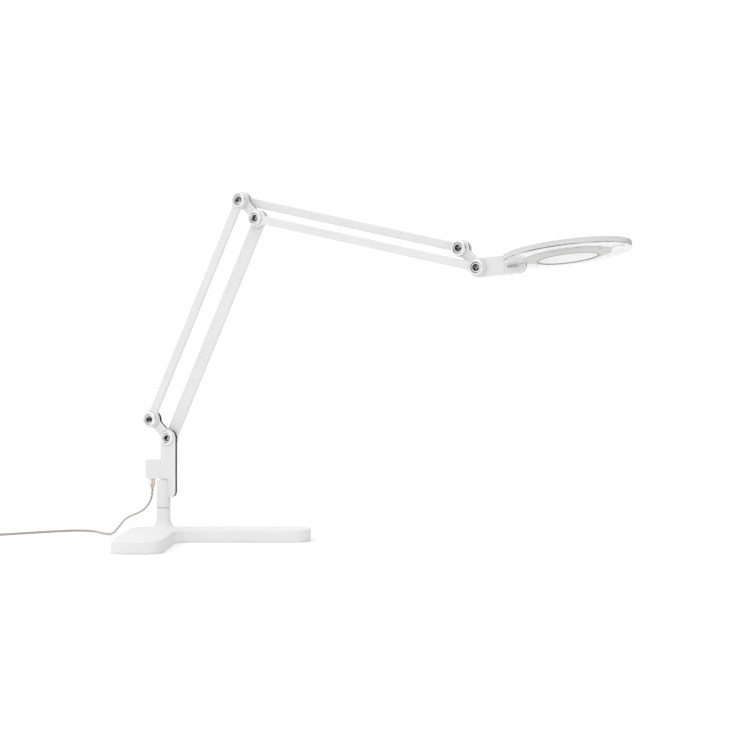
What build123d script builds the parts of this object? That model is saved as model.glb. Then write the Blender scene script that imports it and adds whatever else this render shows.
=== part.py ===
from build123d import *
from math import atan2, cos, degrees, hypot, pi, radians, sin, tan
import os

# Swing arm desk lamp. Millimetres, +Z up. The origin is on the table, under the axis of the post.
# The two arms move in the plane Y = 0, with the head at +X. -Y is the front, where the polished
# pivot caps are.

# ---- Driving dimensions -----------------------------------------------------------------------

# Base: a right-angled L of flat casting, turned about the post.
base_turn = 24.5
leg_length = 233.5
leg_width = 62.5
base_height = 16.0
base_lift = 0.1
post_inset = 45.5
tip_radius = 22.0
outer_corner_radius = 38.0
inner_corner_radius = 24.0
base_edge_radius = 3.0
pad_thickness = 1.6
pad_margin = 3.0
spindle_flange_top = 6.0
spindle_top = 72.0
clip_groove_bottom = 70.0

# Post: a fixed neck on the base, and a sleeve that turns on it.
post_radius = 8.9
neck_top = 42.5
neck_flare = 13.0
ring_thickness = 1.1
sleeve_bottom = 43.7
sleeve_top = 75.0
cap_top = 78.5
spindle_radius = 4.0
bush_radius = 5.5

# Layers of the arms, front to back: front bars, plates, back bars.
plate_thickness = 5.5
bar_thickness = 5.0
washer_thickness = 0.6
running_gap = 0.1
static_gap = 0.02
bore_gap = 0.05

# Arms: two parallelograms that share the elbow link.
arm_length = 305.5
lower_lean = 25.1
upper_drop = 12.8
shoulder_x = 7.5
shoulder_z = 132.3
link_x = -22.9
link_z = 23.7
main_bar_width = 16.0
slim_bar_width = 10.4
bar_eye_radius = 10.3
plate_eye_radius = 10.8
plate_neck_width = 12.5
wire_width = 3.6
wire_thickness = 1.0

# Bracket plate that carries the lower arm on the post.
bracket_half_width = 11.0
bracket_bottom = 56.5
notch_top = 79.2
neck_overlap = 4.5
tongue_left = 7.2

# Driver housing beside the bracket plate, with the power socket under it.
housing_left = -26.0
housing_right = 12.0
housing_front = -1.5
housing_back = 12.5
housing_bottom = 79.8
housing_top = 104.0
housing_wall = 1.8
screw_columns = (1.0, 7.4)
screw_depth = 4.0
socket_x = -19.5
socket_y = 5.2
plug_bottom = 72.0
relief_bottom = 66.5
dowel_heights = (62.0, 70.0)

# Pivots.
pin_radius = 3.0
cap_radius = 9.25
cap_thickness = 3.2
dish_radius = 6.6
screw_head_radius = 4.4
recess_radius = 2.7
recess_depth = 2.4
nut_radius = 5.8
nut_thickness = 4.0

# Wrist and head.
wrist_tilt = 4.5
wrist_half_width = 12.0
wrist_end = 32.5
knuckle_start = 32.8
knuckle_end = 60.0
knuckle_pin_radius = 1.7
knuckle_pin_start = 20.4
knuckle_pin_end = 36.4
head_tilt = 8.3
head_roll = -3.2
head_reach = 112.3
head_drop = 4.05
head_radius = 75.8
hub_radius = 36.8
hub_wall = 1.6
guide_inner_radius = 38.4
guide_thickness = 6.2
film_thickness = 0.2
top_plate_thickness = 1.6
hub_drop = 4.0
lip_radius = 52.0
lip_edge = 0.5
lip_screw_radius = 48.0
hub_screw_angles = (20, 90, 160, 200, 270, 340)
knuckle_screw_places = (-70.0, -57.0)
led_count = 30
touch_reach = 62.0

# Cord: a slim round lead, hanging from the plug and lying on the table.
cord_radius = 1.4
coil_mean_radius = 15.5
coil_width = 12.0
coil_height = 11.4
coil_bottom = 0.9
coil_x = -266.0
coil_y = -42.0
adapter_x = -316.5
adapter_y = -43.0
adapter_size = (30.0, 50.0, 26.0)
adapter_outlet_z = 8.0

# ---- Derived places ---------------------------------------------------------------------------

plate_front = -plate_thickness / 2
plate_back = plate_thickness / 2
front_bar_back = plate_front - washer_thickness - running_gap
front_bar_front = front_bar_back - bar_thickness
back_bar_front = plate_back + washer_thickness + running_gap
back_bar_back = back_bar_front + bar_thickness

shoulder = Vector(shoulder_x, shoulder_z)
link = Vector(link_x, link_z)
elbow = shoulder + Vector(sin(radians(lower_lean)), cos(radians(lower_lean))) * arm_length
wrist = elbow + Vector(cos(radians(upper_drop)), -sin(radians(upper_drop))) * arm_length
wrist_line = Vector(cos(radians(wrist_tilt)), sin(radians(wrist_tilt)))

# The wrist frame runs along the wrist plate from the wrist pivot. The head frame has its origin in
# the middle of the disc's underside, X towards the tip and Z out of the top.
wrist_frame = Location((wrist.X, 0, wrist.Y), (0, -wrist_tilt, 0))
knuckle_frame = wrist_frame * Location((0, 0, 0), (head_roll, 0, 0))
head_frame = (
    Location((wrist.X, 0, wrist.Y), (0, -head_tilt, 0))
    * Location((head_reach, 0, -head_drop))
    * Location((0, 0, 0), (head_roll, 0, 0))
)
plate_bottom_height = guide_thickness + film_thickness
head_top = plate_bottom_height + top_plate_thickness
housing_middle = (housing_bottom + housing_top) / 2
step_back = plate_back + running_gap
plug_top = housing_bottom - 0.2
lie = cord_radius + 0.1

os.makedirs("parts", exist_ok=True)


def save(name, *solids):
    """Write one node. Several solids are one group of identical pieces."""
    shape = solids[0] if len(solids) == 1 else Compound(children=list(solids))
    export_step(shape, f"parts/{name}.step")


# ---- Shapes used more than once -----------------------------------------------------------------


def slab(outline, y_near, y_far):
    """A flat piece standing in the arm plane, from an outline drawn in X and Z."""
    return extrude(Plane.XZ.offset(-y_far) * outline, amount=y_far - y_near)


def disc(point, radius, y_near, y_far):
    """A round piece on a pivot's axis."""
    return slab(Pos(point.X, point.Y) * Circle(radius), y_near, y_far)


def ring(point, inner, outer, y_near, y_far):
    """A round piece with a hole, on a pivot's axis."""
    return disc(point, outer, y_near, y_far) - disc(point, inner, y_near, y_far)


def tube(inner, outer, bottom, top):
    """An upright round piece with a hole, on the Z axis."""
    height = top - bottom
    both_ends = (Align.CENTER, Align.CENTER, Align.MIN)
    solid = Cylinder(outer, height, align=both_ends) - Cylinder(inner, height, align=both_ends)
    return Pos(0, 0, bottom) * solid


def rod(radius, bottom, top):
    """An upright round rod on the Z axis."""
    return Pos(0, 0, bottom) * Cylinder(radius, top - bottom, align=(Align.CENTER, Align.CENTER, Align.MIN))


def block(low, high):
    """A box between two corners."""
    size = [b - a for a, b in zip(low, high)]
    return Pos(*low) * Box(*size, align=(Align.MIN, Align.MIN, Align.MIN))


def strip(start, end, width):
    """A straight strip between two points of the arm plane."""
    run = end - start
    middle = (start + end) * 0.5
    return Pos(middle.X, middle.Y) * Rot(0, 0, degrees(atan2(run.Y, run.X))) * Rectangle(run.length, width)


def bar_outline(start, end, width, eye, blend):
    """A bar with a round eye at each end, blended into its sides."""
    run = (end - start).normalized()
    outline = strip(start, end, width) + Pos(start.X, start.Y) * Circle(eye) + Pos(end.X, end.Y) * Circle(eye)
    corners = []
    for vertex in outline.vertices():
        reach = Vector(vertex.X, vertex.Y) - start
        side = abs(reach.X * run.Y - reach.Y * run.X)
        if abs(side - width / 2) < 0.01:
            corners.append(vertex)
    return fillet(corners, blend)


def round_off(outline, point, radius):
    """Fillet the outline's vertex that lies nearest to a point."""
    nearest = min(outline.vertices(), key=lambda v: hypot(v.X - point[0], v.Y - point[1]))
    return fillet(nearest, radius)


def bevel_face(solid, axis_end, size):
    """Chamfer the edges round a slab's first face along Y, or its last one."""
    face = solid.faces().sort_by(Axis.Y)[axis_end]
    return chamfer(face.outer_wire().edges(), size)


def pivot_hardware(point, cap_back, stem_end):
    """The cap, the shoulder screw and the nut of one pivot."""
    cap_front = cap_back - cap_thickness
    cap = disc(point, cap_radius, cap_front, cap_back)
    cap = bevel_face(cap, 0, 0.9)
    dish = Plane.XZ.offset(-cap_front) * Pos(point.X, point.Y)
    cap -= extrude(dish * Circle(dish_radius), amount=-1.3, taper=35)
    cap -= disc(point, pin_radius + static_gap, cap_front, cap_back)
    head = disc(point, screw_head_radius, cap_front + 0.2, cap_front + 1.3)
    head = bevel_face(head, 0, 0.4)
    recess = Pos(point.X, point.Y) * RegularPolygon(recess_radius, 6)
    screw = head + disc(point, pin_radius, cap_front + 1.3, stem_end)
    screw -= slab(recess, cap_front, cap_front + 0.2 + recess_depth)
    nut = slab(Pos(point.X, point.Y) * RegularPolygon(nut_radius, 6), stem_end - nut_thickness, stem_end)
    nut = bevel_face(nut, -1, 0.5)
    nut -= disc(point, pin_radius + static_gap, stem_end - nut_thickness, stem_end)
    return cap, screw, nut


def save_pivots(prefix, pivots):
    """Write the caps, screws and nuts of the two pivots that one plate carries."""
    hardware = [pivot_hardware(*pivot) for pivot in pivots]
    for kind, pieces in zip(("caps", "screws", "nuts"), zip(*hardware)):
        save(f"{prefix}_{kind}", *pieces)


def washers(*places):
    """Thin friction washers, each on a plate's front or back face."""
    pieces = []
    for point, side in places:
        near = plate_front - washer_thickness if side == "front" else plate_back
        pieces.append(ring(point, pin_radius + running_gap, 8.6, near, near + washer_thickness))
    return pieces


def plate_slab(outline, points):
    """A plate of the middle layer, bevelled on its front, bored for its fixed pins."""
    plate = bevel_face(slab(outline, plate_front, plate_back), 0, 0.8)
    for point in points:
        plate -= disc(point, pin_radius + static_gap, plate_front, plate_back)
    return plate


def bar_slab(start, end, width, y_near, y_far):
    """A bar of the front or back layer, bored to run on its pins."""
    outline = bar_outline(start, end, width, bar_eye_radius, 14.0)
    bar = slab(outline, y_near, y_far)
    bar = bevel_face(bar, 0, 0.5)
    bar = bevel_face(bar, -1, 0.4)
    for point in (start, end):
        bar -= disc(point, pin_radius + bore_gap, y_near, y_far)
    return bar


# ---- Base ---------------------------------------------------------------------------------------


def base_outline(margin):
    """The L seen from above, drawn in by a margin. The post stands at the sketch's origin."""
    far = post_inset - margin
    reach = leg_length - post_inset - margin
    inner = leg_width - post_inset - margin
    size = leg_length - 2 * margin
    width = leg_width - 2 * margin
    right_leg = Pos(-far, -inner) * Rectangle(size, width, align=(Align.MIN, Align.MIN))
    near_leg = Pos(-far, -reach) * Rectangle(width, size, align=(Align.MIN, Align.MIN))
    outline = right_leg + near_leg
    outline = round_off(outline, (-far, far), outer_corner_radius - margin)
    outline = round_off(outline, (inner, -inner), inner_corner_radius + margin)
    for corner in ((reach, far), (reach, -inner), (-far, -reach), (inner, -reach)):
        outline = round_off(outline, corner, tip_radius - margin)
    return outline


def build_base():
    """The casting with its neck, the rubber pad under it and the spindle it holds."""
    turn = Rot(0, 0, base_turn)
    body = extrude(base_outline(0), amount=base_height - base_lift)
    body = fillet(body.faces().sort_by(Axis.Z)[-1].outer_wire().edges(), base_edge_radius)
    body = fillet(body.faces().sort_by(Axis.Z)[0].outer_wire().edges(), 0.8)
    body = Pos(0, 0, base_lift) * body
    body += rod(post_radius, base_height - 1, neck_top)
    root_edges = [
        edge
        for edge in body.edges().filter_by(GeomType.CIRCLE)
        if abs(edge.radius - post_radius) < 0.01 and abs(edge.center().Z - base_height) < 0.01
    ]
    body = fillet(root_edges, neck_flare)
    recess = extrude(base_outline(pad_margin), amount=pad_thickness)
    body -= recess
    body -= rod(10.0, 0, spindle_flange_top)
    body -= rod(spindle_radius + static_gap, 0, neck_top)
    save("base_casting", turn * body)

    pad = extrude(base_outline(pad_margin + 0.3), amount=pad_thickness - static_gap)
    save("base_pad", turn * pad)

    flange = rod(9.5, pad_thickness, spindle_flange_top - static_gap)
    spindle = flange + rod(spindle_radius, spindle_flange_top - static_gap, spindle_top)
    groove = tube(3.2, spindle_radius + 0.1, clip_groove_bottom, clip_groove_bottom + 1.1)
    save("spindle", spindle - groove)
    save("spindle_clip", tube(3.25, 5.2, clip_groove_bottom + 0.05, clip_groove_bottom + 1.05))
    save("swivel_ring", tube(spindle_radius + running_gap, 7.9, neck_top, neck_top + ring_thickness))


# ---- Post sleeve and bracket plate ----------------------------------------------------------------


def build_post():
    """The sleeve that turns on the spindle, its bush and its cap."""
    sleeve = tube(bush_radius + static_gap, post_radius, sleeve_bottom, sleeve_top)
    sleeve = chamfer(sleeve.faces().sort_by(Axis.Z)[0].outer_wire().edges(), 0.5)
    keyway = block((tongue_left - static_gap, plate_front - static_gap, bracket_bottom - static_gap),
                   (post_radius + 1, plate_back + static_gap, sleeve_top + 1))
    sleeve -= keyway
    for height in dowel_heights:
        sleeve -= Pos(9.0, 0, height) * Rot(0, 90, 0) * Cylinder(1.25 + static_gap, 12)
    save("post_sleeve", sleeve)
    save("swivel_bush", tube(spindle_radius + bore_gap, bush_radius, sleeve_bottom + 0.2, 69.8))

    cap = rod(post_radius - 0.25, sleeve_top + static_gap, cap_top)
    cap = chamfer(cap.faces().sort_by(Axis.Z)[-1].outer_wire().edges(), 0.8)
    cap += rod(bush_radius - running_gap, sleeve_top - 2.5, sleeve_top + static_gap)
    cap -= block((tongue_left - static_gap, plate_front - static_gap, sleeve_top - 5),
                 (post_radius + 1, plate_back + static_gap, cap_top + 1))
    save("post_cap", cap)


def build_bracket():
    """The upright plate on the post, with the neck that holds the slim rod's pivot."""
    left = shoulder_x - bracket_half_width
    right = shoulder_x + bracket_half_width
    rod_pivot = shoulder + link
    height = shoulder_z - bracket_bottom
    outline = Pos(left, bracket_bottom) * Rectangle(
        bracket_half_width, height + neck_overlap, align=(Align.MIN, Align.MIN)
    )
    outline += Pos(shoulder.X, bracket_bottom) * Rectangle(
        bracket_half_width, height, align=(Align.MIN, Align.MIN)
    )
    outline += Pos(shoulder.X, shoulder.Y) * Circle(bracket_half_width)
    outline += strip(shoulder, rod_pivot, plate_neck_width)
    outline += Pos(rod_pivot.X, rod_pivot.Y) * Circle(plate_eye_radius)
    outline -= Pos(left, bracket_bottom) * Rectangle(
        tongue_left - left, notch_top - bracket_bottom, align=(Align.MIN, Align.MIN)
    )
    across = Vector(link_z, -link_x).normalized() * (plate_neck_width / 2)
    along = link.normalized()
    eye_reach = (plate_eye_radius**2 - (plate_neck_width / 2) ** 2) ** 0.5
    foot_reach = (bracket_half_width**2 - (plate_neck_width / 2) ** 2) ** 0.5
    upper_eye = rod_pivot - along * eye_reach + across
    lower_eye = rod_pivot - along * eye_reach - across
    upper_foot = shoulder + along * foot_reach + across
    lower_foot = Vector(left, shoulder_z + neck_overlap / 2)
    for corner in (upper_eye, lower_eye, upper_foot, lower_foot):
        outline = round_off(outline, (corner.X, corner.Y), 7.0)
    outline = round_off(outline, (right, bracket_bottom), 8.0)
    outline = round_off(outline, (left, notch_top), 1.5)
    plate = plate_slab(outline, (shoulder, rod_pivot))
    for height in dowel_heights:
        plate -= Pos(9.0, 0, height) * Rot(0, 90, 0) * Cylinder(1.25 + static_gap, 10.4)
    for x in screw_columns:
        plate -= Pos(x, plate_back, housing_middle) * Rot(90, 0, 0) * Cylinder(1.5, 2 * screw_depth)
    save("bracket_plate", plate)
    dowel = Rot(0, 90, 0) * Cylinder(1.25, 8.2)
    save("bracket_dowels", *[Pos(9.9, 0, height) * dowel for height in dowel_heights])
    save_pivots(
        "shoulder",
        [
            (shoulder, plate_front, back_bar_back + running_gap + nut_thickness),
            (rod_pivot, front_bar_front - running_gap, plate_back + nut_thickness),
        ],
    )
    save("shoulder_washers", *washers((shoulder, "back"), (rod_pivot, "front")))


# ---- Driver housing, socket and plug --------------------------------------------------------------


def build_housing():
    """The housing for the driver, its cover, the board inside and the power socket."""
    outer = block((housing_left, housing_front, housing_bottom), (housing_right, housing_back, housing_top))
    outer = fillet(outer.edges().filter_by(Axis.Y), 1.2)
    plate_step = block(
        (shoulder_x - bracket_half_width - running_gap, housing_front - 1, housing_bottom - 1),
        (housing_right + 1, step_back, housing_top + 1),
    )
    room = block(
        (housing_left + housing_wall, housing_front + housing_wall, housing_bottom + housing_wall),
        (shoulder_x - bracket_half_width - housing_wall, housing_back + 1, housing_top - housing_wall),
    )
    room += block(
        (housing_left + housing_wall, step_back + housing_wall, housing_bottom + housing_wall),
        (housing_right - housing_wall, housing_back + 1, housing_top - housing_wall),
    )
    shell = outer - plate_step - room
    shell -= Pos(socket_x, socket_y, housing_bottom) * Cylinder(3.3, 6)
    for x in screw_columns:
        shell -= Pos(x, step_back, housing_middle) * Rot(90, 0, 0) * Cylinder(1.6, 8)
    save("driver_housing", shell)

    cover = block(
        (housing_left + 0.3, housing_back + static_gap, housing_bottom + 0.3),
        (housing_right - 0.3, housing_back + 1.8, housing_top - 0.3),
    )
    cover = fillet(cover.edges().filter_by(Axis.Y), 1.0)
    cover = chamfer(cover.faces().sort_by(Axis.Y)[-1].outer_wire().edges(), 0.4)
    plug_frame = block(
        (housing_left + housing_wall + 0.1, housing_back - 1.2, housing_bottom + housing_wall + 0.1),
        (housing_right - housing_wall - 0.1, housing_back + static_gap, housing_top - housing_wall - 0.1),
    )
    save("housing_cover", cover + plug_frame)

    screws = []
    for x in screw_columns:
        y_face = step_back + housing_wall
        y_tip = plate_back - screw_depth + running_gap
        shank = Pos(x, (y_face + y_tip) / 2, housing_middle) * Rot(90, 0, 0) * Cylinder(1.48, y_face - y_tip)
        head = Pos(x, y_face + 0.8, housing_middle) * Rot(90, 0, 0) * Cylinder(2.6, 1.6)
        screws.append(shank + head)
    save("housing_screws", *screws)

    board = block((-23.5, 8.4, 82.4), (9.6, 9.6, 101.4))
    save("driver_board", board)
    coil = Pos(-4.0, 10.25, 92.0) * Rot(90, 0, 0) * Cylinder(4.0, 1.3)
    chip = block((3.0, 9.62, 88.0), (9.0, 10.8, 94.0))
    capacitor = Pos(-4.0, 6.7, 97.5) * Rot(90, 0, 0) * Cylinder(3.0, 3.2)
    save("driver_parts", coil, chip, capacitor)

    socket = block((socket_x - 4.2, socket_y - 4.4, housing_bottom + housing_wall + 0.02),
                   (socket_x + 4.2, socket_y + 3.1, housing_bottom + housing_wall + 13.0))
    socket -= Pos(socket_x, socket_y, housing_bottom + housing_wall) * Cylinder(2.9, 22)
    save("power_socket", socket)



def build_plug():
    """The lead's plug, standing in the socket from below, with its tapered strain relief."""
    place = Pos(socket_x, socket_y, 0)
    body = rod(4.1, plug_bottom, plug_top)
    body = fillet(body.edges().filter_by(GeomType.CIRCLE), 0.6)
    body += rod(2.75, plug_top - 0.5, plug_top + 11.0)
    body -= rod(1.1, plug_top + 2.0, plug_top + 11.0)
    save("lead_plug", place * body)
    relief = Pos(0, 0, (plug_bottom + relief_bottom) / 2) * Cone(1.9, 3.0, plug_bottom - relief_bottom - 0.04)
    save("plug_relief", place * relief)


# ---- Arms -----------------------------------------------------------------------------------------


def wire_groove(start, end, y_near, y_far, width):
    """A straight groove, or the flat wire in it, between the eyes of a bar."""
    along = (end - start).normalized()
    inset = bar_eye_radius + 4.0
    return slab(strip(start + along * inset, end - along * inset, width), y_near, y_far)


def build_arms():
    """Four bars, the elbow link and the flat wires that lie in the two main bars."""
    lower_bar = bar_slab(shoulder, elbow, main_bar_width, back_bar_front, back_bar_back)
    groove_depth = wire_thickness + 0.2
    lower_bar -= wire_groove(shoulder, elbow, back_bar_back - groove_depth, back_bar_back, wire_width + 0.4)
    save("lower_main_bar", lower_bar)
    save("lower_wire", wire_groove(shoulder, elbow, back_bar_back - groove_depth + static_gap,
                                   back_bar_back - 0.15, wire_width))
    save("lower_slim_bar", bar_slab(shoulder + link, elbow + link, slim_bar_width,
                                    front_bar_front, front_bar_back))

    upper_bar = bar_slab(elbow, wrist, slim_bar_width, front_bar_front, front_bar_back)
    upper_bar -= wire_groove(elbow, wrist, front_bar_back - groove_depth, front_bar_back, wire_width + 0.4)
    save("upper_main_bar", upper_bar)
    save("upper_wire", wire_groove(elbow, wrist, front_bar_back - groove_depth + static_gap,
                                   front_bar_back - 0.15, wire_width))
    save("upper_slim_bar", bar_slab(elbow + link, wrist + link, slim_bar_width,
                                    back_bar_front, back_bar_back))

    outline = bar_outline(elbow, elbow + link, plate_neck_width, plate_eye_radius, 6.5)
    save("elbow_link", plate_slab(outline, (elbow, elbow + link)))
    cap_back = front_bar_front - running_gap
    stem_end = back_bar_back + running_gap + nut_thickness
    save_pivots("elbow", [(elbow, cap_back, stem_end), (elbow + link, cap_back, stem_end)])
    both_sides = [(point, side) for point in (elbow, elbow + link) for side in ("front", "back")]
    save("elbow_washers", *washers(*both_sides))


# ---- Wrist and knuckle ----------------------------------------------------------------------------


def build_wrist():
    """The wrist plate, its spacer, and the knuckle that turns in its end."""
    upper_pivot = wrist + link
    end_point = wrist + wrist_line * wrist_end
    outline = strip(wrist, end_point, 2 * wrist_half_width)
    outline += Pos(wrist.X, wrist.Y) * Circle(wrist_half_width)
    upper_middle = wrist + Vector(-wrist_line.Y, wrist_line.X) * (wrist_half_width / 2)
    outline += strip(upper_middle - wrist_line * neck_overlap, upper_middle + wrist_line, wrist_half_width)
    outline += strip(wrist, upper_pivot, plate_neck_width)
    outline += Pos(upper_pivot.X, upper_pivot.Y) * Circle(plate_eye_radius)
    across = Vector(link_z, -link_x).normalized() * (plate_neck_width / 2)
    along = link.normalized()
    eye_reach = (plate_eye_radius**2 - (plate_neck_width / 2) ** 2) ** 0.5
    foot_reach = (wrist_half_width**2 - (plate_neck_width / 2) ** 2) ** 0.5
    corners = (
        upper_pivot - along * eye_reach + across,
        upper_pivot - along * eye_reach - across,
        wrist + along * foot_reach + across,
        wrist + along * foot_reach - across,
    )
    for corner in corners:
        outline = round_off(outline, (corner.X, corner.Y), 7.0)
    plate = plate_slab(outline, (wrist, upper_pivot))
    bore = Rot(0, 90, 0) * Cylinder(knuckle_pin_radius + bore_gap, 16.0)
    plate -= wrist_frame * Pos(knuckle_pin_start - 0.1 + 8.0, 0, 0) * bore
    save("wrist_plate", plate)

    boss_front = front_bar_front - running_gap
    save("wrist_boss", ring(upper_pivot, pin_radius + static_gap, 8.9, boss_front, plate_front))
    save_pivots(
        "wrist",
        [
            (wrist, front_bar_front - running_gap, plate_back + nut_thickness),
            (upper_pivot, boss_front, back_bar_back + running_gap + nut_thickness),
        ],
    )
    save("wrist_washers", *washers((wrist, "front"), (upper_pivot, "back")))


def knuckle_slot():
    """Outline of the slot for the grommet, in the wrist frame."""
    return Pos(44.5, -2.4) * SlotOverall(15.0, 3.4)


def build_knuckle():
    """The knuckle plate with its pin, and the grommet where the wires go up into the head."""
    length = knuckle_end - knuckle_start
    outline = Pos(knuckle_start, -wrist_half_width) * Rectangle(
        length, 2 * wrist_half_width, align=(Align.MIN, Align.MIN)
    )
    outline = round_off(outline, (knuckle_end, -wrist_half_width), 10.5)
    plate = bevel_face(slab(outline, plate_front, plate_back), 0, 0.8)
    plate -= slab(knuckle_slot(), plate_front - 1, plate_back + 1)
    bore = Rot(0, 90, 0) * Cylinder(knuckle_pin_radius + static_gap, 7.0)
    plate -= Pos(knuckle_pin_end + 0.1 - 3.5, 0, 0) * bore
    above = head_frame * Pos(-head_radius, 0, plate_bottom_height - static_gap + 15) * Box(120, 40, 30)
    plate = knuckle_frame * plate - above
    for reach in knuckle_screw_places:
        plate -= head_frame * Pos(reach, 0, plate_bottom_height) * Cylinder(1.02, 9.0)
    save("knuckle", plate)
    pin = Rot(0, 90, 0) * Cylinder(knuckle_pin_radius, knuckle_pin_end - knuckle_pin_start)
    save("knuckle_pin", knuckle_frame * Pos((knuckle_pin_start + knuckle_pin_end) / 2, 0, 0) * pin)
    grommet = slab(offset(knuckle_slot(), amount=-0.1), plate_front + 1.0, plate_back - 1.0)
    save("knuckle_grommet", knuckle_frame * grommet)


# ---- Head -----------------------------------------------------------------------------------------


def knuckle_notch(bottom, top):
    """The space that the knuckle needs in the disc."""
    return block((-head_radius - 2, -3.3, bottom), (knuckle_end - head_reach + 1.0, 3.3, top))


def build_head():
    """The disc: clear light guide, reflector film and top plate round a hub with the lamps."""
    guide = tube(guide_inner_radius, head_radius, 0, guide_thickness)
    guide = chamfer(guide.faces().sort_by(Axis.Z)[0].outer_wire().edges(), 0.5)
    guide -= knuckle_notch(-1, guide_thickness + 1)
    save("light_guide", head_frame * guide)

    film = tube(guide_inner_radius, head_radius - 1.2, guide_thickness + 0.01, plate_bottom_height - 0.01)
    film -= knuckle_notch(guide_thickness - 1, head_top)
    save("reflector_film", head_frame * film)

    plate = tube(hub_radius + static_gap, head_radius - 0.3, plate_bottom_height, head_top)
    plate = fillet(plate.faces().sort_by(Axis.Z)[-1].outer_wire().edges(), 0.7)
    for reach in knuckle_screw_places:
        plate -= Pos(reach, 0, head_top) * Cylinder(1.3, 8.0)
    save("head_top_plate", head_frame * plate)

    hub = tube(hub_radius - hub_wall, hub_radius, -hub_drop, head_top)
    hub = chamfer(hub.edges().filter_by(GeomType.CIRCLE).sort_by(Axis.Z)[0:2], 0.4)
    save("hub_ring", head_frame * hub)

    lip_top = -static_gap
    rim = hub_radius + static_gap
    slope = Polyline(
        (rim, lip_top), (lip_radius, lip_top), (lip_radius, lip_top - lip_edge), (rim, -hub_drop + 0.3), close=True
    )
    lip = revolve(Plane.XZ * make_face(slope), axis=Axis.Z)
    head_low = -1.8
    for angle in hub_screw_angles:
        place = Rot(0, 0, angle) * Pos(lip_screw_radius, 0, 0)
        lip -= place * rod(1.5 + static_gap, head_low - 2, head_low + 0.6)
        lip -= place * rod(0.9 + static_gap, head_low, 0)
    save("guide_retainer", head_frame * lip)
    lip_screw = rod(1.5, head_low, head_low + 0.6 - static_gap)
    lip_screw += rod(0.9, head_low + 0.5, 2 * lip_top)
    lip_screw = Pos(lip_screw_radius, 0, 0) * lip_screw
    save("retainer_screws", *[head_frame * Rot(0, 0, angle) * lip_screw for angle in hub_screw_angles])

    save("led_strip", head_frame * tube(hub_radius + 0.03, hub_radius + 0.4, 0.6, 5.6))
    chip = Pos(hub_radius + 0.95, 0, 3.1) * Box(1.0, 2.8, 3.0)
    save("led_chips", *[head_frame * Rot(0, 0, 360 * i / led_count) * chip for i in range(led_count)])

    screws = []
    for reach in knuckle_screw_places:
        screw = Pos(reach, 0, head_top + 0.5) * Cylinder(2.2, 1.0)
        screw += Pos(reach, 0, head_top - 2.5) * Cylinder(1.0, 5.0)
        screws.append(head_frame * screw)
    save("knuckle_screws", *screws)

    pad = Pos(touch_reach, 0) * SlotOverall(17.0, 7.0)
    touch = extrude(pad, amount=1.2)
    touch = chamfer(touch.faces().sort_by(Axis.Z)[0].outer_wire().edges(), 0.4)
    save("touch_dimmer", head_frame * Pos(0, 0, -1.22) * touch)


# ---- Cord -----------------------------------------------------------------------------------------

# The lead from under the plug to the coil, and from the coil to the power adapter.
lead_route = [
    (socket_x, socket_y, relief_bottom - 0.3),
    (-20.4, 5.9, 56.5),
    (-28.5, 9.8, 45.0),
    (-43.0, 16.8, 35.6),
    (-61.5, 25.5, 30.2),
    (-79.0, 33.8, 23.6),
    (-91.5, 39.8, 12.6),
    (-104.5, 46.0, 2.2),
    (-124.0, 57.0, lie),
    (-146.0, 77.0, lie),
    (-168.0, 92.0, lie),
    (-190.0, 88.0, lie),
    (-206.0, 64.0, lie),
    (-220.0, 34.0, lie),
    (-233.0, 2.0, lie),
    (-243.0, -20.0, lie),
    (-250.0, -38.0, 3.4),
]
tail_route = [
    (-281.5, -34.0, 3.6),
    (-282.1, -18.0, lie),
    (-281.2, -2.0, lie),
    (-281.5, 16.0, lie),
    (-299.0, 26.0, 3.0),
    (adapter_x, 15.5, 6.6),
    (adapter_x, adapter_y + adapter_size[1] / 2 + 16.0, adapter_outlet_z),
]


def corner_radii(route):
    """The largest radius that the two runs at each corner leave room for."""
    points = [Vector(*point) for point in route]
    radii = []
    for before, corner, after in zip(points, points[1:], points[2:]):
        turn = (corner - before).get_angle(after - corner)
        shorter = min((corner - before).length, (after - corner).length)
        radii.append(0.45 * shorter / tan(radians(turn / 2)))
    return radii


def lay_cord(name, route):
    """Sweep the cord along straight runs joined by arcs. Returns its length."""
    radii = corner_radii(route)
    path = FilletPolyline(*route, radius=radii)
    section = Plane(origin=path @ 0, z_dir=path % 0) * Circle(cord_radius)
    cord = sweep(section, path=path)
    save(name, cord)
    expected = pi * cord_radius**2 * path.length
    print(f"{name}: length {path.length:.1f}, volume {cord.volume:.1f} of {expected:.1f}")
    print("  radii " + " ".join(f"{radius:.1f}" for radius in radii))
    return path.length


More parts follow.
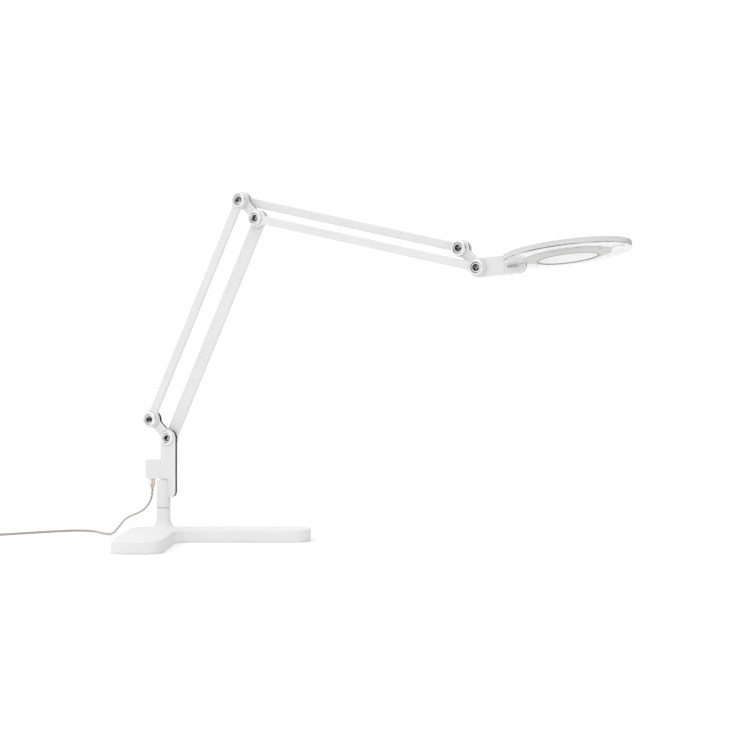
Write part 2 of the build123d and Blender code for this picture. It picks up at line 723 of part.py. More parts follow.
def build_cord():
    """The lead, its put-away coil with a tie, and the power adapter on its end."""
    lay_cord("lead", lead_route)
    lay_cord("lead_tail", tail_route)

    section = Pos(coil_mean_radius, coil_bottom + coil_height / 2) * RectangleRounded(coil_width, coil_height, 2.5)
    coil = revolve(Plane.XZ * section, axis=Axis.Z)
    save("lead_coil", Pos(coil_x, coil_y, 0) * coil)

    reach = coil_mean_radius
    loop = Box(coil_width + 1.6, 7.0, coil_height + 1.7) - Box(coil_width + 0.2, 8.0, coil_height + 0.2)
    tie = Pos(coil_x, coil_y, coil_bottom + coil_height / 2) * Rot(0, 0, -90) * Pos(reach, 0, 0) * loop
    save("coil_tie", tie)

    width, length, height = adapter_size
    body = Pos(adapter_x, adapter_y, height / 2) * Box(width, length, height)
    body = fillet(body.edges(), 3.0)
    save("power_adapter", body)
    outlet = Pos(adapter_x, adapter_y + length / 2 + 8.0, adapter_outlet_z) * Rot(90, 0, 0) * Cone(3.4, 1.9, 15.9)
    save("adapter_relief", outlet)
    blade = Box(1.5, 17.0, 6.3)
    blades = [
        Pos(adapter_x + side * 6.35, adapter_y - length / 2 - 8.52, height / 2) * blade for side in (-1, 1)
    ]
    save("adapter_blades", *blades)


build_base()
build_post()
build_bracket()
build_housing()
build_plug()
build_arms()
build_wrist()
build_knuckle()
build_head()
build_cord()
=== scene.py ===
import bpy
from math import cos, pi, radians, sin
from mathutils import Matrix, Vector


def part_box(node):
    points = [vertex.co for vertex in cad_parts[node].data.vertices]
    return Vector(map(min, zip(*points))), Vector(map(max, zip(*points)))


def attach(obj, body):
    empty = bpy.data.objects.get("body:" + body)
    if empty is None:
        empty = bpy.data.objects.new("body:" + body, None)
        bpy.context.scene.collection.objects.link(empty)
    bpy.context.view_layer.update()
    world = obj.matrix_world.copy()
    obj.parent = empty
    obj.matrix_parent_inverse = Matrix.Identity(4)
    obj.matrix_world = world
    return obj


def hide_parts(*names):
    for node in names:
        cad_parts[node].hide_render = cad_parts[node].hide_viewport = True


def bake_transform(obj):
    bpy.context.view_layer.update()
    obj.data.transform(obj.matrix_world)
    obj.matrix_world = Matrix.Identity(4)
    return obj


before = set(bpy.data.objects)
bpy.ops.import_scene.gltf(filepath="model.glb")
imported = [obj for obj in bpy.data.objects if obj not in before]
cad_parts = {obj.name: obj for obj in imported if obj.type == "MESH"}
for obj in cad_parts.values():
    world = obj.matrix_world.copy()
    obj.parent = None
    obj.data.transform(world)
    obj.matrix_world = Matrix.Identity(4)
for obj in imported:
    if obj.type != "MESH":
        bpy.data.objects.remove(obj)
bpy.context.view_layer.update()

# Swing arm desk lamp: the lead, the plug's wires, the materials, the camera and the light, round
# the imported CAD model. Metres, +Z up, the same frame as the CAD.

# ---- Places taken from the frame ------------------------------------------------------------------


def middle(node):
    """The middle of a CAD node's box."""
    low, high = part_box(node)
    return (low + high) / 2


relief_low, relief_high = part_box("plug_relief")
plug_axis = middle("plug_relief")
coil_middle = middle("lead_coil")

head_tilt = radians(8.3)
head_roll = radians(-3.2)
head_normal = Vector((
    -sin(head_tilt) * cos(head_roll),
    -sin(head_roll),
    cos(head_tilt) * cos(head_roll),
))


def lowest_on_head(node):
    """How far along the head's normal a node starts."""
    return min(head_normal.dot(vertex.co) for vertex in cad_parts[node].data.vertices)


# ---- Lead dimensions ------------------------------------------------------------------------------

lead_diameter = 0.0028
lead_radius = lead_diameter / 2
coil_layers = 4
turns_per_layer = 3.375
climb_turns = 0.25
points_per_turn = 16
turn_spacing = 0.00288
layer_spacing = 0.00288
coil_outer_radius = 0.0202
coil_first_height = 0.00155
lying_height = 0.0015
twist_pitch = 0.011
sides_of_lead = 14
wire_radius = 0.0005
wire_pitch = 0.002
wire_start = 0.001
wire_parting = 0.004
wire_end = 0.0072
sides_of_wire = 10

# ---- Mesh helpers ---------------------------------------------------------------------------------


def add_mesh(name, verts, faces, smooth=True):
    """A new object from points and faces."""
    mesh = bpy.data.meshes.new(name)
    mesh.from_pydata(verts, [], faces)
    mesh.polygons.foreach_set("use_smooth", [smooth] * len(mesh.polygons))
    mesh.update()
    obj = bpy.data.objects.new(name, mesh)
    bpy.context.scene.collection.objects.link(obj)
    return obj


def nurbs_points(name, route, resolution):
    """The smooth line of a NURBS spline whose control points are the route."""
    curve = bpy.data.curves.new(name, "CURVE")
    curve.dimensions = "3D"
    curve.resolution_u = resolution
    spline = curve.splines.new("NURBS")
    spline.points.add(len(route) - 1)
    for point, place in zip(spline.points, route):
        point.co = (*place, 1.0)
    spline.order_u = 3
    spline.use_endpoint_u = True
    holder = bpy.data.objects.new(name, curve)
    bpy.context.scene.collection.objects.link(holder)
    bpy.context.view_layer.update()
    line = bpy.data.meshes.new_from_object(holder)
    points = [v.co.copy() for v in line.vertices]
    bpy.data.objects.remove(holder)
    bpy.data.meshes.remove(line)
    return points


def sweep(name, points, radius, sides, pitch):
    """A round tube along the points, with UVs that twist once per pitch along it."""
    verts = []
    faces = []
    twist_at = []
    tangent = (points[1] - points[0]).normalized()
    side = tangent.orthogonal().normalized()
    travelled = 0.0
    for i, point in enumerate(points):
        before = points[max(i - 1, 0)]
        after = points[min(i + 1, len(points) - 1)]
        new_tangent = (after - before).normalized()
        side.rotate(tangent.rotation_difference(new_tangent))
        tangent = new_tangent
        side = (side - tangent * side.dot(tangent)).normalized()
        up = tangent.cross(side)
        travelled += (point - before).length
        twist_at.append(travelled / pitch)
        for k in range(sides):
            angle = 2 * pi * k / sides
            verts.append(point + (side * cos(angle) + up * sin(angle)) * radius)
    for i in range(len(points) - 1):
        for k in range(sides):
            after_k = (k + 1) % sides
            here = i * sides
            ahead = here + sides
            faces.append((here + k, here + after_k, ahead + after_k, ahead + k))
    last = (len(points) - 1) * sides
    faces.append(tuple(reversed(range(sides))))
    faces.append(tuple(range(last, last + sides)))
    obj = add_mesh(name, verts, faces)
    uv = obj.data.uv_layers.new(name="Along")
    for face in obj.data.polygons[: (len(points) - 1) * sides]:
        i, k = divmod(face.index, sides)
        corners = ((i, k), (i, k + 1), (i + 1, k + 1), (i + 1, k))
        for loop, (row, column) in zip(face.loop_indices, corners):
            uv.data[loop].uv = (column / sides, twist_at[row])
    return obj


# ---- Material helpers -----------------------------------------------------------------------------

noise_roughness = 0.55


class Finish:
    """A material's nodes: its surface shader, and the textures that feed it."""

    def __init__(self, name, **constants):
        self.material = bpy.data.materials.new(name)
        self.material.use_nodes = True
        self.tree = self.material.node_tree
        self.shader = self.tree.nodes["Principled BSDF"]
        self.last_bump = None
        self.coordinates = self.add("ShaderNodeTexCoord")
        self.place = self.coordinates.outputs["Object"]
        for socket, value in constants.items():
            self.shader.inputs[socket.replace("_", " ")].default_value = value

    def add(self, kind, **settings):
        """A new node with its settings."""
        node = self.tree.nodes.new(kind)
        for key, value in settings.items():
            setattr(node, key, value)
        return node

    def link(self, source, target):
        """Join an output to an input."""
        self.tree.links.new(source, target)

    def stretched(self, scale):
        """Object coordinates, stretched by a scale for each axis."""
        mapping = self.add("ShaderNodeMapping")
        mapping.inputs["Scale"].default_value = scale
        self.link(self.place, mapping.inputs["Vector"])
        return mapping.outputs["Vector"]

    def noise(self, scale, detail=4.0, source=None):
        """Smooth noise, from 0 to 1."""
        node = self.add("ShaderNodeTexNoise")
        node.inputs["Scale"].default_value = scale
        node.inputs["Detail"].default_value = detail
        node.inputs["Roughness"].default_value = noise_roughness
        self.link(source or self.place, node.inputs["Vector"])
        return node.outputs["Fac"]

    def cells(self, scale, randomness=1.0):
        """Distance to the nearest cell's middle."""
        node = self.add("ShaderNodeTexVoronoi")
        node.inputs["Scale"].default_value = scale
        node.inputs["Randomness"].default_value = randomness
        self.link(self.place, node.inputs["Vector"])
        return node.outputs["Distance"]

    def waves(self, scale, axis, distortion=0.0):
        """Parallel bands along an axis."""
        node = self.add("ShaderNodeTexWave", bands_direction=axis)
        node.inputs["Scale"].default_value = scale
        node.inputs["Distortion"].default_value = distortion
        self.link(self.place, node.inputs["Vector"])
        return node.outputs["Fac"]

    def spread(self, value, low, high, start=0.3, stop=0.7):
        """A texture's value from start to stop becomes low to high."""
        node = self.add("ShaderNodeMapRange")
        for socket, number in (("From Min", start), ("From Max", stop), ("To Min", low), ("To Max", high)):
            node.inputs[socket].default_value = number
        self.link(value, node.inputs["Value"])
        return node.outputs["Result"]

    def shade(self, value, dark, light, start=0.3, stop=0.7):
        """A colour between two, by a texture's value."""
        node = self.add("ShaderNodeValToRGB")
        first, last = node.color_ramp.elements
        first.position = start
        first.color = (*dark, 1.0)
        last.position = stop
        last.color = (*light, 1.0)
        self.link(value, node.inputs["Fac"])
        return node.outputs["Color"]

    def mixed(self, factor, first, second, kind="RGBA"):
        """The first value where the factor is 0, and the second where it is 1."""
        node = self.add("ShaderNodeMix", data_type=kind)
        ends = {"RGBA": ("A_Color", "B_Color"), "FLOAT": ("A_Float", "B_Float")}[kind]
        sockets = {socket.identifier: socket for socket in node.inputs}
        self.link(factor, sockets["Factor_Float"])
        self.link(first, sockets[ends[0]])
        self.link(second, sockets[ends[1]])
        outputs = {socket.identifier: socket for socket in node.outputs}
        return outputs["Result_Color" if kind == "RGBA" else "Result_Float"]

    def combine(self, operation, first, second=0.0):
        """Two values joined by a sum, product or the like, or one value's sine or size."""
        node = self.add("ShaderNodeMath", operation=operation)
        for slot, value in zip(node.inputs, (first, second)):
            if isinstance(value, (int, float)):
                slot.default_value = value
            else:
                self.link(value, slot)
        return node.outputs["Value"]

    def facing(self, axis):
        """How squarely the surface faces along an axis of the object, from 0 to 1."""
        parts = self.add("ShaderNodeSeparateXYZ")
        self.link(self.coordinates.outputs["Normal"], parts.inputs["Vector"])
        return self.combine("ABSOLUTE", parts.outputs[axis])

    def above_head(self, lowest):
        """Height across the tilted head's own plane, in metres above its lowest level."""
        dot = self.add("ShaderNodeVectorMath", operation="DOT_PRODUCT")
        self.link(self.place, dot.inputs[0])
        dot.inputs[1].default_value = head_normal
        return self.combine("SUBTRACT", dot.outputs["Value"], lowest)

    def colour(self, output):
        """Use an output as the surface's colour."""
        self.link(output, self.shader.inputs["Base Color"])

    def rough(self, output):
        """Use an output as the surface's roughness."""
        self.link(output, self.shader.inputs["Roughness"])

    def bump(self, height, depth, strength):
        """Relief of a depth in metres, on top of any relief that the material has already."""
        node = self.add("ShaderNodeBump")
        node.inputs["Strength"].default_value = strength
        node.inputs["Distance"].default_value = depth
        self.link(height, node.inputs["Height"])
        if self.last_bump:
            self.link(self.last_bump, node.inputs["Normal"])
        self.last_bump = node.outputs["Normal"]
        self.link(self.last_bump, self.shader.inputs["Normal"])


# ---- Materials ------------------------------------------------------------------------------------

arm_white = ((0.755, 0.75, 0.752), (0.79, 0.785, 0.787))


def grey(level):
    """A neutral colour."""
    return (level, level, level)


def casting_paint():
    """Matt white powder coat on a casting: fine orange peel over a slightly uneven skin."""
    finish = Finish("casting_paint", Specular_IOR_Level=0.35)
    finish.colour(finish.shade(finish.noise(22), (0.775, 0.775, 0.772), (0.81, 0.81, 0.808)))
    finish.rough(finish.spread(finish.noise(420), 0.42, 0.56))
    finish.bump(finish.noise(35, 2), 0.00006, 0.3)
    finish.bump(finish.noise(1100, 3), 0.00001, 0.4)
    return finish.material


def arm_paint():
    """Satin white powder coat on plates and bars, finer than the casting's."""
    finish = Finish("arm_paint", Specular_IOR_Level=0.45)
    finish.colour(finish.shade(finish.noise(30), *arm_white))
    finish.rough(finish.spread(finish.noise(500), 0.30, 0.42))
    finish.bump(finish.noise(1500, 3), 0.000006, 0.35)
    return finish.material


def plate_paint(name, dark, light, metallic):
    """Satin white paint on a plate's faces, a lighter chamfer that is a painted highlight, and bare metal
    all round its edge in the colour passed in.
    """
    finish = Finish(name, Specular_IOR_Level=0.45)
    facing = finish.facing("Y")
    edge = finish.spread(facing, 1.0, 0.0, 0.80, 0.84)
    wall = finish.spread(facing, 1.0, 0.0, 0.25, 0.45)
    paint = finish.shade(finish.noise(30), *arm_white)
    # Painted highlight: the chamfer between face and edge is coloured lighter than the paint.
    painted_chamfer_highlight = finish.shade(finish.noise(300), grey(0.86), grey(0.94))
    # The edge's colour is passed in; where it is near-black it is a painted dark reflection.
    metal = finish.shade(finish.noise(300), dark, light)
    finish.colour(finish.mixed(edge, paint, finish.mixed(wall, painted_chamfer_highlight, metal)))
    finish.link(finish.combine("MULTIPLY", wall, metallic), finish.shader.inputs["Metallic"])
    satin = finish.spread(finish.noise(500), 0.30, 0.42)
    bright = finish.spread(finish.noise(700, 4, finish.stretched((1, 8, 1))), 0.16, 0.26)
    finish.rough(finish.mixed(edge, satin, bright, "FLOAT"))
    finish.bump(finish.noise(1500, 3), 0.000006, 0.35)
    return finish.material


def polished_metal():
    """Chromed steel, with faint polishing lines and a few soft smears."""
    finish = Finish("polished_metal", Metallic=1.0)
    finish.colour(finish.shade(finish.noise(160), (0.78, 0.78, 0.79), (0.90, 0.90, 0.91)))
    finish.rough(finish.spread(finish.noise(900, 5), 0.04, 0.13))
    finish.bump(finish.noise(90, 3, finish.stretched((40, 1, 3))), 0.000012, 0.3)
    return finish.material


def steel():
    """Zinc-plated steel with drawn lines and slight blotches."""
    finish = Finish("steel", Metallic=1.0)
    finish.colour(finish.shade(finish.noise(260), (0.46, 0.47, 0.48), (0.66, 0.66, 0.65)))
    finish.rough(finish.spread(finish.noise(1200, 5, finish.stretched((1, 1, 6))), 0.24, 0.42))
    finish.bump(finish.noise(1400, 3, finish.stretched((1, 1, 8))), 0.00001, 0.4)
    return finish.material


def black_steel():
    """Black-oxide steel, with small bright patches that stand partly for wear and partly for the mottled
    reflection of the polished heads, painted into its colour.
    """
    finish = Finish("black_steel", Metallic=0.9)
    # Partly painted reflection: the light patches in the colour mimic the heads' mottled reflection as
    # well as wear.
    finish.colour(finish.shade(finish.noise(280, 2), (0.03, 0.03, 0.032), (0.50, 0.50, 0.51), 0.44, 0.60))
    finish.rough(finish.spread(finish.noise(1200, 5), 0.16, 0.30))
    finish.bump(finish.noise(1400, 3), 0.00001, 0.4)
    return finish.material


def washer_polymer():
    """Natural acetal, slightly waxy and slightly uneven."""
    finish = Finish("washer_polymer", Subsurface_Weight=0.1, Subsurface_Scale=0.001)
    finish.colour(finish.shade(finish.noise(300), (0.66, 0.66, 0.64), (0.78, 0.78, 0.75)))
    finish.rough(finish.spread(finish.noise(700), 0.4, 0.55))
    finish.bump(finish.noise(1500), 0.00001, 0.4)
    return finish.material


def black_rubber():
    """Soft black rubber with a fine moulded grain."""
    finish = Finish("black_rubber", Specular_IOR_Level=0.3)
    finish.colour(finish.shade(finish.noise(200), (0.012, 0.012, 0.013), (0.035, 0.035, 0.036)))
    finish.rough(finish.spread(finish.noise(900), 0.6, 0.8))
    finish.bump(finish.cells(1800), 0.00004, 0.5)
    return finish.material


def clear_acrylic():
    """Clear acrylic: polished faces, and a satin edge with a dark line low on it, painted in as the shadow
    under the rim.
    """
    finish = Finish("clear_acrylic", IOR=1.49, Transmission_Weight=0.3)
    edge = finish.spread(finish.facing("Z"), 1.0, 0.0, 0.40, 0.60)
    clear = finish.shade(finish.noise(18), (0.955, 0.965, 0.968), (0.985, 0.99, 0.99))
    satin = finish.shade(finish.noise(40), (0.88, 0.885, 0.89), (0.94, 0.945, 0.95))
    # Painted shadow: the dark line low on the rim's edge.
    painted_shadow_line = finish.shade(finish.noise(26, 1), (0.16, 0.16, 0.17), (0.72, 0.72, 0.73), 0.42, 0.60)
    height = finish.above_head(lowest_on_head("light_guide"))
    low = finish.spread(height, 1.0, 0.0, 0.0013, 0.0017)
    lower = finish.combine("MULTIPLY", edge, low)
    finish.colour(finish.mixed(lower, finish.mixed(edge, clear, satin), painted_shadow_line))
    polish = finish.spread(finish.noise(300, 6), 0.02, 0.07)
    frost = finish.spread(finish.noise(900, 4), 0.14, 0.22)
    finish.rough(finish.mixed(edge, polish, frost, "FLOAT"))
    finish.bump(finish.noise(60, 2), 0.00003, 0.2)
    return finish.material


def reflector_white():
    """White reflecting film, printed with the fine dots that spread the light."""
    finish = Finish("reflector_white", Specular_IOR_Level=0.4)
    dots = finish.cells(650, randomness=0.05)
    finish.colour(finish.shade(dots, (0.97, 0.97, 0.96), (0.86, 0.865, 0.87), 0.3, 0.45))
    finish.rough(finish.spread(finish.noise(500), 0.45, 0.6))
    finish.bump(dots, 0.00002, 0.3)
    return finish.material


def hub_metal():
    """Painted aluminium ring, satin and light, with painted shade along its lower edge, and lines from
    turning.
    """
    finish = Finish("hub_metal", Specular_IOR_Level=0.3)
    wall = finish.shade(finish.noise(12, 1), grey(0.84), grey(0.88))
    # Painted shade: a dark line along the ring's lower edge, where shadow falls.
    painted_shade_rim = finish.shade(finish.noise(60, 2), (0.20, 0.20, 0.205), (0.28, 0.28, 0.285))
    height = finish.above_head(lowest_on_head("hub_ring"))
    edge = finish.spread(height, 1.0, 0.0, 0.0008, 0.0013)
    finish.colour(finish.mixed(edge, wall, painted_shade_rim))
    finish.rough(finish.spread(finish.noise(150, 2), 0.42, 0.48))
    finish.bump(finish.noise(300, 2, finish.stretched((0.1, 0.1, 5))), 0.000002, 0.1)
    return finish.material


def retainer_painted_shade():
    """Satin metal of the cone under the guide, very smooth, its colour greyed as painted shade for its
    downward-facing side.
    """
    finish = Finish("retainer_painted_shade", Specular_IOR_Level=0.3)
    # Painted shade: the grey stands for the shade on the cone's downward-facing side.
    finish.colour(finish.shade(finish.noise(14, 1), (0.56, 0.56, 0.55), (0.62, 0.62, 0.61)))
    finish.rough(finish.spread(finish.noise(120, 2), 0.44, 0.50))
    finish.bump(finish.noise(260, 2), 0.000002, 0.1)
    return finish.material


def led_board_white():
    """White solder mask on the flexible strip behind the lamps."""
    finish = Finish("led_board_white")
    pads = finish.cells(420, randomness=0.2)
    finish.colour(finish.shade(pads, (0.70, 0.62, 0.42), (0.88, 0.88, 0.86), 0.12, 0.2))
    finish.rough(finish.spread(finish.noise(800), 0.3, 0.5))
    finish.bump(finish.noise(1200), 0.00001, 0.4)
    return finish.material


def led_phosphor():
    """Yellow phosphor in its white package, unlit."""
    finish = Finish("led_phosphor", Subsurface_Weight=0.2, Subsurface_Scale=0.001)
    finish.colour(finish.shade(finish.noise(700), (0.86, 0.70, 0.24), (0.93, 0.82, 0.42)))
    finish.rough(finish.spread(finish.noise(1500), 0.3, 0.5))
    finish.bump(finish.noise(2500), 0.00001, 0.5)
    return finish.material


def circuit_board():
    """Green board with lighter copper tracks under the mask."""
    finish = Finish("circuit_board")
    tracks = finish.waves(260, "X", distortion=6.0)
    finish.colour(finish.shade(tracks, (0.01, 0.09, 0.035), (0.03, 0.20, 0.07), 0.45, 0.6))
    finish.rough(finish.spread(finish.noise(700), 0.25, 0.4))
    finish.bump(tracks, 0.00002, 0.5)
    return finish.material


def board_parts():
    """Dark moulded component bodies with a fine grain."""
    finish = Finish("board_parts")
    finish.colour(finish.shade(finish.noise(350), (0.02, 0.02, 0.022), (0.06, 0.06, 0.065)))
    finish.rough(finish.spread(finish.noise(900), 0.35, 0.6))
    finish.bump(finish.noise(1800), 0.00002, 0.5)
    return finish.material


def flat_wire():
    """White flat cable: faint ribs over its conductors."""
    finish = Finish("flat_wire")
    finish.colour(finish.shade(finish.noise(80), (0.70, 0.70, 0.69), (0.80, 0.80, 0.79)))
    finish.rough(finish.spread(finish.noise(500), 0.4, 0.55))
    finish.bump(finish.waves(500, "Y"), 0.00004, 0.5)
    return finish.material


def lead_jacket():
    """Clear jacket over two copper-coloured cores that twist about each other."""
    gloss = {"Coat_Weight": 1.0, "Coat_Roughness": 0.12, "Coat_IOR": 1.5, "Specular_IOR_Level": 0.5}
    finish = Finish("lead_jacket", **gloss)
    parts = finish.add("ShaderNodeSeparateXYZ")
    finish.link(finish.add("ShaderNodeUVMap").outputs["UV"], parts.inputs["Vector"])
    around = parts.outputs["X"]
    along = parts.outputs["Y"]
    turns = finish.combine("ADD", around, along)
    cores = finish.combine("SINE", finish.combine("MULTIPLY", turns, 4 * pi))
    strands = finish.combine("SUBTRACT", around, finish.combine("MULTIPLY", along, 4.0))
    threads = finish.combine("SINE", finish.combine("MULTIPLY", strands, 16 * pi))
    weave = finish.combine("ADD", cores, finish.combine("MULTIPLY", threads, 0.35))
    relief = finish.spread(weave, 0.0, 1.0, -1.2, 1.2)
    finish.colour(finish.shade(relief, (0.28, 0.215, 0.18), (0.62, 0.545, 0.49), 0.15, 0.8))
    finish.rough(finish.spread(finish.noise(900), 0.25, 0.4))
    finish.bump(relief, 0.00012, 0.6)
    return finish.material


def lead_mouldings():
    """Clear soft plastic of the plug and its relief, slightly smoke-tinted, with a moulded skin."""
    finish = Finish("lead_mouldings", IOR=1.46, Transmission_Weight=0.85)
    finish.colour(finish.shade(finish.noise(120), (0.86, 0.83, 0.78), (0.95, 0.94, 0.92)))
    finish.rough(finish.spread(finish.noise(500), 0.10, 0.22))
    finish.bump(finish.noise(900), 0.00003, 0.3)
    return finish.material


def tie_black():
    """Black tie with fine ribs across it."""
    finish = Finish("tie_black")
    finish.colour(finish.shade(finish.noise(300), (0.012, 0.012, 0.013), (0.04, 0.04, 0.042)))
    finish.rough(finish.spread(finish.noise(800), 0.45, 0.65))
    finish.bump(finish.waves(420, "Z"), 0.0001, 0.6)
    return finish.material


def adapter_shell():
    """White moulded polycarbonate with a fine spark-eroded grain."""
    finish = Finish("adapter_shell", Specular_IOR_Level=0.4)
    finish.colour(finish.shade(finish.noise(50), (0.78, 0.78, 0.775), (0.84, 0.84, 0.835)))
    finish.rough(finish.spread(finish.noise(600), 0.42, 0.6))
    finish.bump(finish.noise(2200, 4), 0.00004, 0.6)
    return finish.material


def blade_metal():
    """Nickel-plated brass with fine lines from stamping."""
    finish = Finish("blade_metal", Metallic=1.0)
    finish.colour(finish.shade(finish.noise(240), (0.66, 0.63, 0.55), (0.80, 0.78, 0.70)))
    finish.rough(finish.spread(finish.noise(900, 4, finish.stretched((1, 0.2, 4))), 0.18, 0.32))
    finish.bump(finish.noise(1200, 3, finish.stretched((1, 0.2, 5))), 0.00001, 0.4)
    return finish.material


def bare_copper():
    """Bright stranded copper."""
    finish = Finish("bare_copper", Metallic=1.0)
    finish.colour(finish.shade(finish.noise(500), (0.62, 0.30, 0.16), (0.85, 0.48, 0.30)))
    finish.rough(finish.spread(finish.noise(1500), 0.2, 0.35))
    finish.bump(finish.waves(900, "Z"), 0.00004, 0.6)
    return finish.material


def grey_polymer():
    """Grey moulded polymer, in the swivel's groove and the knuckle's slot."""
    finish = Finish("grey_polymer", Specular_IOR_Level=0.3)
    finish.colour(finish.shade(finish.noise(200), grey(0.60), grey(0.68)))
    finish.rough(finish.spread(finish.noise(900), 0.5, 0.65))
    finish.bump(finish.noise(1800), 0.00002, 0.4)
    return finish.material


def floor_paint():
    """Plain white studio floor with the faintest unevenness."""
    finish = Finish("floor_paint", Specular_IOR_Level=0.0, Roughness=1.0)
    finish.colour(finish.shade(finish.noise(2), grey(0.93), grey(0.95)))
    return finish.material


slot_materials = {
    make.__name__: make()
    for make in (
        casting_paint, arm_paint, polished_metal, steel, washer_polymer, black_rubber, clear_acrylic,
        reflector_white, hub_metal, led_board_white, led_phosphor, circuit_board, board_parts, flat_wire,
        lead_jacket, lead_mouldings, tie_black, adapter_shell, blade_metal,
    )
}


def paint_cad_nodes():
    """Give every CAD node the material of its own slot, and a few nodes another one, some of which paint
    light and shade into their colour.
    """
    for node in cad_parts.values():
        for material_slot in node.material_slots:
            material_slot.material = slot_materials[material_slot.material.name]
    # The bracket plate's near-black edge colour is a painted dark reflection, standing in for what its
    # polished edge mirrors.
    painted_reflection_plate = plate_paint("plate_paint_dark_reflection", (0.05, 0.05, 0.052), (0.09, 0.09, 0.092), 0.7)
    brushed = plate_paint("brushed_plate", (0.42, 0.42, 0.43), (0.56, 0.56, 0.57), 0.5)
    swapped_materials = {
        painted_reflection_plate: ("bracket_plate",),
        brushed: ("elbow_link", "wrist_plate", "knuckle"),
        grey_polymer(): ("swivel_ring", "knuckle_grommet"),
        black_steel(): ("shoulder_screws", "elbow_screws", "wrist_screws"),
        retainer_painted_shade(): ("guide_retainer",),
    }
    for material, names in swapped_materials.items():
        for name in names:
            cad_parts[name].material_slots[0].material = material


# ---- Lead -----------------------------------------------------------------------------------------


def coil_points():
    """The coil's turns, clockwise from above: in along the floor, out on the next layer, and so on."""
    points = []
    total = coil_layers * turns_per_layer
    steps = round(total * points_per_turn)
    travel = turns_per_layer - climb_turns
    for step in range(steps + 1):
        turn = total * step / steps
        layer = min(int(turn / turns_per_layer), coil_layers - 1)
        into = turn - layer * turns_per_layer
        sideways = min(into, travel) / travel
        climb = max(into - travel, 0.0) / climb_turns if layer < coil_layers - 1 else 0.0
        inward = sideways if layer % 2 == 0 else 1 - sideways
        radius = coil_outer_radius - inward * travel * turn_spacing
        rise = climb * climb * (3 - 2 * climb)
        height = coil_first_height + (layer + rise) * layer_spacing
        angle = -2 * pi * turn
        points.append((coil_middle.x + radius * cos(angle), coil_middle.y + radius * sin(angle), height))
    return points


def build_lead():
    """The lead from the plug to the adapter, as one line: hanging, lying, coiled and lying again."""
    hanging = [
        (plug_axis.x, plug_axis.y, relief_low.z), (-0.0204, 0.0059, 0.0565), (-0.0285, 0.0098, 0.0450),
        (-0.0430, 0.0168, 0.0356), (-0.0615, 0.0255, 0.0302), (-0.0790, 0.0338, 0.0236),
        (-0.0915, 0.0398, 0.0126), (-0.1045, 0.0460, 0.0022),
    ]
    lying = [
        (-0.124, 0.057), (-0.146, 0.077), (-0.168, 0.092), (-0.190, 0.088), (-0.206, 0.064),
        (-0.220, 0.034), (-0.233, 0.002), (-0.2435, -0.0200), (-0.2458, -0.0335),
    ]
    tail = [
        (-0.2863, -0.0340, 0.0095), (-0.2855, -0.0230, 0.0058), (-0.2832, -0.0110, 0.0019),
        (-0.2815, 0.0020, lying_height), (-0.2815, 0.0160, lying_height), (-0.2990, 0.0260, 0.0030),
        (-0.3165, 0.0155, 0.0066), (-0.3165, -0.0020, 0.0080),
    ]
    on_floor = [(x, y, lying_height) for x, y in lying]
    line = nurbs_points("lead_line", hanging + on_floor + coil_points() + tail, 5)
    lead = sweep("lead_cable", line, lead_radius, sides_of_lead, twist_pitch)
    lead.data.materials.append(slot_materials["lead_jacket"])
    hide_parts("lead", "lead_tail", "lead_coil")
    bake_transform(lead)
    return lead, line


def plug_wires(copper):
    """The two bare conductors that show inside the clear plug, from where they part upwards."""
    wires = []
    offsets = {"plug_wire_left": (-0.0005, -0.0004), "plug_wire_right": (0.0005, 0.0022)}
    for name, (together, apart) in offsets.items():
        route = [
            (plug_axis.x + together, plug_axis.y, relief_low.z + wire_start),
            (plug_axis.x + apart, plug_axis.y, relief_low.z + wire_parting),
            (plug_axis.x + apart, plug_axis.y, relief_high.z + wire_start),
            (plug_axis.x + apart, plug_axis.y, relief_high.z + wire_end),
        ]
        wire = sweep(name, nurbs_points(name, route, 8), wire_radius, sides_of_wire, wire_pitch)
        wire.data.materials.append(copper)
        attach(wire, "swivel")
        wires.append(wire)
    return wires


# ---- Light, floor and camera ----------------------------------------------------------------------

camera_place = Vector((1.3605, -2.2980, 0.2218))
camera_turn = radians(25.0)
focal_in_frames = 2.8193
sensor = 36.0
backdrop_level = 1.05
dark_side = (0.68, 0.73, 0.0)
dark_flatness = 2.2
dark_starts = 0.50
dark_full = 0.80
sun_towards = (0.1, 0.15, -1.0)
sun_strength = 0.55
sun_spread = radians(80)


def add_camera():
    """A level camera, 25 degrees round from the arm's plane, as in a product shot from afar."""
    data = bpy.data.cameras.new("camera")
    data.sensor_width = sensor
    data.lens = focal_in_frames * sensor
    data.clip_end = 50.0
    camera = bpy.data.objects.new("camera", data)
    camera.location = camera_place
    camera.rotation_euler = (pi / 2, 0, camera_turn)
    bpy.context.scene.collection.objects.link(camera)
    bpy.context.scene.camera = camera


def add_floor():
    """A wide pale floor."""
    reach = 9.0
    corners = [(-reach, -reach, 0), (reach, -reach, 0), (reach, reach, 0), (-reach, reach, 0)]
    floor = add_mesh("floor", corners, [(0, 1, 2, 3)], smooth=False)
    floor.data.materials.append(floor_paint())


def add_soft_sun():
    """Even, very soft light from overhead."""
    data = bpy.data.lights.new("overhead", "SUN")
    data.energy = sun_strength
    data.angle = sun_spread
    light = bpy.data.objects.new("overhead", data)
    light.rotation_euler = Vector(sun_towards).to_track_quat("-Z", "Y").to_euler()
    bpy.context.scene.collection.objects.link(light)


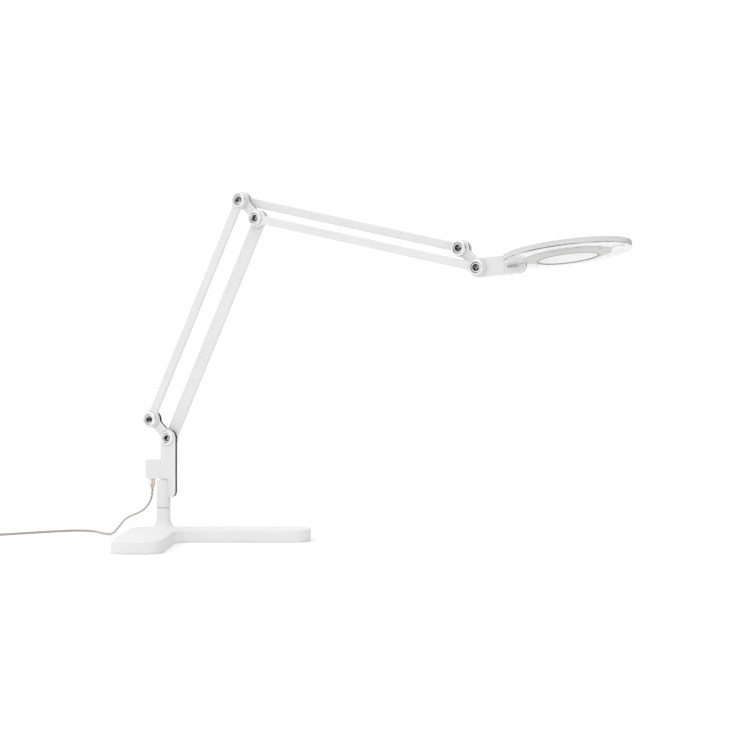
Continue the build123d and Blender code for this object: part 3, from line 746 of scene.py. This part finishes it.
def dark_sector(tree):
    """White all round, but for a dark sector low on one side."""
    towards = tree.nodes.new("ShaderNodeTexCoord")
    flatten = tree.nodes.new("ShaderNodeVectorMath")
    flatten.operation = "MULTIPLY"
    flatten.inputs[1].default_value = (1.0, 1.0, dark_flatness)
    tree.links.new(towards.outputs["Generated"], flatten.inputs[0])
    level = tree.nodes.new("ShaderNodeVectorMath")
    level.operation = "NORMALIZE"
    tree.links.new(flatten.outputs["Vector"], level.inputs[0])
    dot = tree.nodes.new("ShaderNodeVectorMath")
    dot.operation = "DOT_PRODUCT"
    dot.inputs[1].default_value = Vector(dark_side).normalized()
    tree.links.new(level.outputs["Vector"], dot.inputs[0])
    ramp = tree.nodes.new("ShaderNodeValToRGB")
    bright, dark = ramp.color_ramp.elements
    bright.position = dark_starts
    bright.color = (1.0, 1.0, 1.0, 1.0)
    dark.position = dark_full
    dark.color = (0.04, 0.04, 0.045, 1.0)
    tree.links.new(dot.outputs["Value"], ramp.inputs["Fac"])
    return ramp.outputs["Color"]


def add_world():
    """A white tent: plain white behind the lamp, with a dark opening that polished edges show."""
    world = bpy.data.worlds.new("white_tent")
    world.use_nodes = True
    tree = world.node_tree
    tree.nodes.clear()
    seen = tree.nodes.new("ShaderNodeBackground")
    seen.inputs["Color"].default_value = (1.0, 1.0, 1.0, 1.0)
    seen.inputs["Strength"].default_value = backdrop_level
    lighting = tree.nodes.new("ShaderNodeBackground")
    lighting.inputs["Strength"].default_value = 1.0
    tree.links.new(dark_sector(tree), lighting.inputs["Color"])
    path = tree.nodes.new("ShaderNodeLightPath")
    mix = tree.nodes.new("ShaderNodeMixShader")
    tree.links.new(path.outputs["Is Camera Ray"], mix.inputs["Fac"])
    tree.links.new(lighting.outputs["Background"], mix.inputs[1])
    tree.links.new(seen.outputs["Background"], mix.inputs[2])
    output = tree.nodes.new("ShaderNodeOutputWorld")
    tree.links.new(mix.outputs["Shader"], output.inputs["Surface"])
    bpy.context.scene.world = world


# ---- Assembly -------------------------------------------------------------------------------------

bpy.context.scene.view_settings.view_transform = "Standard"
paint_cad_nodes()
lead_cable, lead_line = build_lead()
mouldings = ["lead_plug", "plug_relief", "coil_tie", "power_adapter", "adapter_relief", "adapter_blades"]
mouldings + plug_wires(bare_copper())
add_floor()
add_soft_sun()
add_world()
add_camera()
